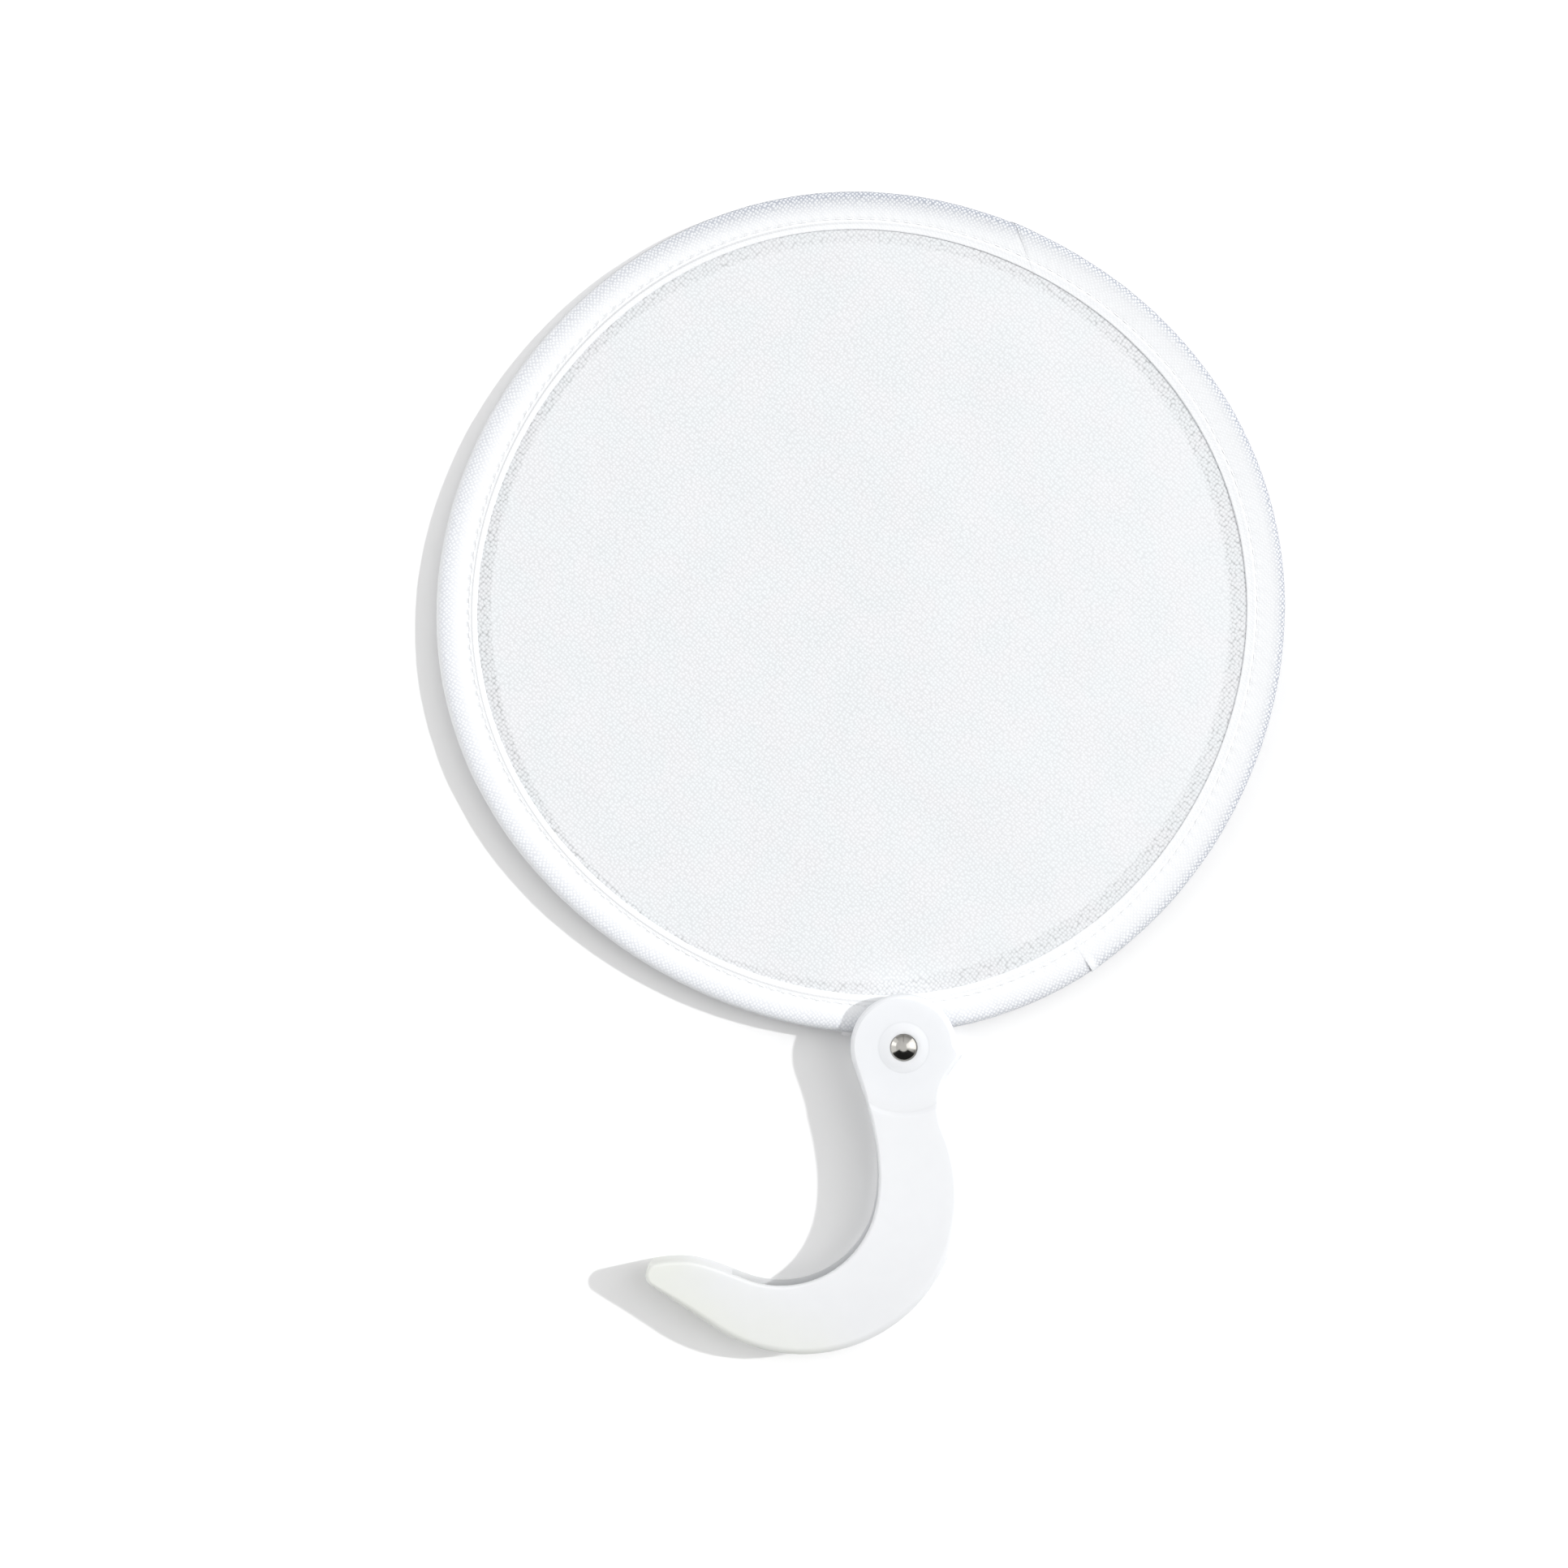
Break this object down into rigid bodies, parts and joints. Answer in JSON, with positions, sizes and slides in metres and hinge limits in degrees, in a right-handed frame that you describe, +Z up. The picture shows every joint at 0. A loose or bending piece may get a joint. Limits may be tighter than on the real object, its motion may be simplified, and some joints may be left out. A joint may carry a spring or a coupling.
{
  "type": "round folding fan",
  "caption": "Round cloth hand fan on a sprung steel hoop, riveted to a hooked channel handle that stores the coiled leaf.",
  "frame": {"origin": "on the surface that the fan lies on, under the middle of its bounding box", "axes": "+Z up out of the fan's front face, +Y along the fan from the rivet to the middle of the leaf"},
  "size_m": [0.2506, 0.3406, 0.0162],
  "materials": {
    "handle_plastic": "satin moulded white plastic",
    "rivet_plating": "bright nickel plating",
    "clip_steel": "bare stamped sheet",
    "hoop_steel": "blued spring strip",
    "leaf_cloth": "matt white plain weave",
    "binding_tape": "satin white bias tape and thread"
  },
  "bodies": {
    "handle": {"handle": "handle_plastic", "rivet_cap": "rivet_plating", "rivet_stud": "rivet_plating"},
    "leaf": {"root_clip": "clip_steel", "spring_hoop": "hoop_steel", "leaf_fabric": "leaf_cloth", "binding_long": "binding_tape", "binding_short": "binding_tape"}
  },
  "joints": [
    {"name": "leaf_swing", "type": "hinge", "parent": "handle", "child": "leaf", "pos_m": [0.00059, -0.08303, 0.0075], "axis": [0, 0, 1], "range_deg": [-20, 60]}
  ]
}
